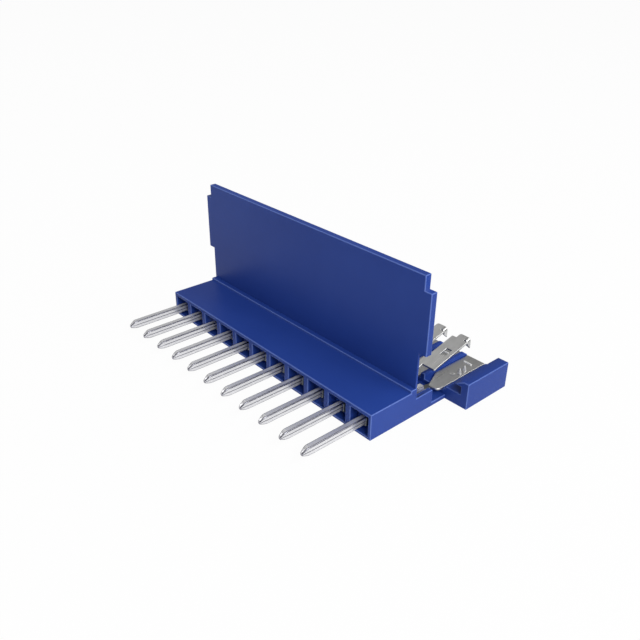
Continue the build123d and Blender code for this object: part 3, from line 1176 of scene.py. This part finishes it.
@dataclass
class ContactRow:
    """The eleven stamped and folded contacts.

    Attributes:
        pin: Sizes of the pin.
        strip: Sizes of the bent strip.
        blade: Sizes of the blade.
        jaw_corners: Place across and along, and radius, of the jaw's rounded corners.
        corner_segments: Faces round each of those corners.
        stamped_turn: Smallest turn of an edge that is rounded, in degrees.
        edge_segments: Faces across that rounding.
        sheet_gap: Points of one sheet that are closer than this are joined.
        whole_gap: The same for the points of the whole contact.
    """

    pin: Pin = field(default_factory=Pin)
    strip: Strip = field(default_factory=Strip)
    blade: Blade = field(default_factory=Blade)
    jaw_corners: tuple = (
        (0.68, 2.95, 0.16),
        (-1.2, 3.9, 0.14),
        (-0.98, 7.15, 0.12),
        (-0.54, 7.72, 0.2),
    )
    corner_segments: int = 5
    stamped_turn: float = 50.0
    edge_segments: int = 3
    sheet_gap: float = 1e-4
    whole_gap: float = 1e-6

    def formed(self, name: str, shells: list[Shell], corners: tuple = ()) -> Object:
        """Thicken middle surfaces into sheet with rounded edges.

        Args:
            name: The piece's name.
            shells: The middle surfaces, which join where their points meet.
            corners: Place across and along, and radius, of corners to round first.

        Returns:
            The finished piece.
        """
        piece = to_object(name, joined(shells))
        with editing(piece.data) as shape:
            bmesh.ops.remove_doubles(shape, verts=shape.verts, dist=self.sheet_gap)
            loose = [point for point in shape.verts if not point.link_faces]
            bmesh.ops.delete(shape, geom=loose, context="VERTS")
            for x, y, radius in corners:
                found = min(shape.verts, key=lambda v: (v.co.x - x) ** 2 + (v.co.y - y) ** 2)
                size = {"offset": radius, "segments": self.corner_segments, "profile": 0.5}
                bmesh.ops.bevel(shape, geom=[found], affect="VERTICES", **size)
        sheet = piece.modifiers.new("sheet", "SOLIDIFY")
        sheet.thickness = self.strip.sheet
        sheet.offset = 0.0
        sheet.use_even_offset = True
        settle(piece)
        with editing(piece.data) as shape:
            weigh_edges(shape, math.radians(self.stamped_turn), self.strip.edge)
        round_edges(piece, self.strip.edge, self.edge_segments, -1)
        return settle(piece)

    def pattern(self) -> Mesh:
        """Make one whole contact about the middle of its pitch, in millimetres.

        Returns:
            The contact's mesh.
        """
        strip, blade = self.strip, self.formed("blade", [self.blade.plate()])
        places = np.empty(len(blade.data.vertices) * 3)
        blade.data.vertices.foreach_get("co", places)
        places[2::3] = np.maximum(places[2::3], self.blade.middle - self.blade.thickness / 2)
        blade.data.vertices.foreach_set("co", places)
        jaw = self.formed("jaw", [strip.arm(), strip.jaw(), strip.tooth()], self.jaw_corners)
        tang = self.formed("tang", [strip.tang()])
        # The tines and the bead take slot 1, the near-white tin that paints their glint.
        tines = to_object("tines", joined([self.blade.tine(y) for y in self.blade.tine_places]))
        bead = to_object("bead", self.blade.bead())
        # The channel, neck and shoulder take slot 2, the dark tin that paints their shade.
        channel = self.formed("channel", [strip.channel()])
        neck = self.formed("neck", [strip.neck()])
        shoulder = to_object("shoulder", self.pin.collar())
        pin = to_object("pin", self.pin.shaft())
        # The pin's corner, fold-line and seam faces move up to slot 4, the dark tin that paints their
        # shade.
        darker = self.pin.shaded_faces(len(pin.data.polygons))
        groups = ((jaw, tang, blade), (tines, bead), (channel, neck, shoulder), (pin,))
        mesh = bpy.data.meshes.new("contact_pattern")
        with editing(mesh) as whole:
            for finish_index, parts in enumerate(groups):
                for part in parts:
                    finish = np.full(len(part.data.polygons), finish_index)
                    if part is pin:
                        finish += darker
                    part.data.polygons.foreach_set("material_index", finish)
                    whole.from_mesh(part.data)
                    bpy.data.objects.remove(part)
            bmesh.ops.remove_doubles(whole, verts=whole.verts, dist=self.whole_gap)
        for _ in CONTACT_FINISHES:
            mesh.materials.append(None)
        piece = placed("contact_pattern", mesh)
        shaded = even_shading(piece).data
        bpy.data.objects.remove(piece)
        return shaded

    def build(self) -> None:
        """Put one contact at each place of the row."""
        finishes = [finish.build() for finish in CONTACT_FINISHES]
        pattern = self.pattern()
        for node in sorted(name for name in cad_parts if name.startswith("contact_")):
            low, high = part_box(node)
            reach = (low.x + high.x) / 2 - (self.blade.half + self.strip.jaw_across[0]) / 2 * MM
            mesh = pattern.copy()
            mesh.transform(Matrix.Translation((reach, 0.0, 0.0)) @ Matrix.Scale(MM, 4))
            piece = placed(node.replace("contact", "formed_contact"), mesh)
            dress(piece, finishes, Body.BASE)
            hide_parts(node)


@dataclass
class Studio:
    """Floor, backdrop light, lamps and the camera of the photograph.

    Attributes:
        camera_place: Where the camera stands.
        camera_aim: The direction that it looks in.
        camera_roll: Its turn about that direction, in degrees.
        camera_reach: Nearest and farthest distance that it sees.
        picture_width: Width of the photograph in pixels.
        focal_pixels: Focal length in pixels of the photograph.
        room_light: Strength of the room's even light.
        floor_size: Edge of the square floor.
        floor_gap: How far it lies below the base.
        floor_shades: Its darkest and lightest shade.
        floor_repeats: Repeats of its shades for each metre.
        floor_detail: Octaves of its shades.
        floor_roughness: Its roughness.
        floor_glow: Share of plain white that the camera and reflections see on it.
        lamps: Name, place, edge and power of each lamp.
    """

    camera_place: Triple = (44.0367 * MM, -37.3126 * MM, 34.1865 * MM)
    camera_aim: Triple = (-0.65540244, 0.58856097, -0.47333246)
    camera_roll: float = 0.75
    camera_reach: tuple[float, float] = (1.0 * MM, 10.0)
    picture_width: float = 640.0
    focal_pixels: float = 711.763
    room_light: float = 0.3
    floor_size: float = 1.2
    floor_gap: float = 0.002 * MM
    floor_shades: tuple[float, float] = (0.82, 0.84)
    floor_repeats: Triple = (6.0, 6.0, 6.0)
    floor_detail: float = 2.0
    floor_roughness: float = 0.9
    floor_glow: float = 0.96
    lamps: tuple[tuple[str, Triple, float, float], ...] = (
        ("key_lamp", (0.195, -0.055, 0.155), 0.12, 0.39),
        ("back_lamp", (0.14, 0.18, 0.192), 0.12, 0.13),
        ("rear_lamp", (0.165, 0.06, 0.2), 0.08, 0.13),
        ("sky_lamp", (-0.19, 0.06, 0.22), 0.2, 0.045),
        ("low_lamp", (-0.2, -0.17, 0.04), 0.1, 0.015),
        ("edge_lamp", (-0.16, -0.12, 0.15), 0.05, 0.03),
    )

    def camera(self) -> None:
        """Set the camera at the photograph's angle."""
        lens = bpy.data.cameras.new("photo_camera")
        lens.lens = lens.sensor_width * self.focal_pixels / self.picture_width
        lens.clip_start, lens.clip_end = self.camera_reach
        camera = placed("photo_camera", lens)
        aim = Vector(self.camera_aim).to_track_quat("-Z", "Y").to_matrix().to_4x4()
        roll = Matrix.Rotation(math.radians(self.camera_roll), 4, "Z")
        camera.matrix_world = Matrix.Translation(self.camera_place) @ aim @ roll
        bpy.context.scene.camera = camera

    def world(self) -> None:
        """Light the room evenly, and show the camera a white room."""
        world = bpy.data.worlds.new("studio_room")
        tree = NodeTree(world)
        light = tree.nodes["Background"]
        light.inputs["Color"].default_value = (1.0, 1.0, 1.0, 1.0)
        light.inputs["Strength"].default_value = self.room_light
        seen = tree.add("ShaderNodeBackground", Color=(1.0, 1.0, 1.0, 1.0), Strength=1.0)
        kinds = ("Is Camera Ray", "Is Transmission Ray")
        mixed = tree.by_ray(kinds, 1.0, light.outputs["Background"], seen.outputs["Background"])
        tree.join(mixed, tree.nodes["World Output"].inputs["Surface"])
        bpy.context.scene.world = world

    def floor(self) -> None:
        """Lay a pale floor that the camera sees nearly white and that keeps a soft shadow."""
        edge = np.array([-1.0, 1.0]) * self.floor_size / 2
        floor = to_object("floor", surface(edge, edge[:, None], 0.0), False)
        floor.location.z = -self.floor_gap
        tree = NodeTree(bpy.data.materials.new("studio_floor"))
        shades = [(shade,) * 3 for shade in self.floor_shades]
        pale = tree.ramp(tree.noise(self.floor_repeats, self.floor_detail), *shades)
        tree.join(pale, tree.shader.inputs["Base Color"])
        tree.shader.inputs["Roughness"].default_value = self.floor_roughness
        glow = tree.add("ShaderNodeEmission", Strength=1.0).outputs["Emission"]
        kinds = ("Is Camera Ray", "Is Glossy Ray")
        mixed = tree.by_ray(kinds, self.floor_glow, tree.shader.outputs["BSDF"], glow)
        tree.join(mixed, tree.nodes["Material Output"].inputs["Surface"])
        floor.data.materials.append(tree.owner)

    def lamp(self, name: str, place: Triple, size: float, watts: float) -> None:
        """Hang one square soft lamp that points at the connector.

        Args:
            name: The lamp's name.
            place: Where it hangs.
            size: Its edge.
            watts: Its power.
        """
        light = bpy.data.lights.new(name, "AREA")
        light.shape = "SQUARE"
        light.size = size
        light.energy = watts
        aim = (-Vector(place)).to_track_quat("-Z", "Y").to_matrix().to_4x4()
        placed(name, light).matrix_world = Matrix.Translation(place) @ aim

    def build(self) -> None:
        """Make the whole studio."""
        self.camera()
        self.world()
        self.floor()
        for lamp in self.lamps:
            self.lamp(*lamp)


def main() -> None:
    """Build the dressed connector and its studio."""
    logging.basicConfig(level=logging.INFO, format="%(message)s")
    bpy.context.scene.view_settings.view_transform = "Standard"
    Moulding().build()
    ContactRow().build()
    Studio().build()


if __name__ == "__main__":
    main()
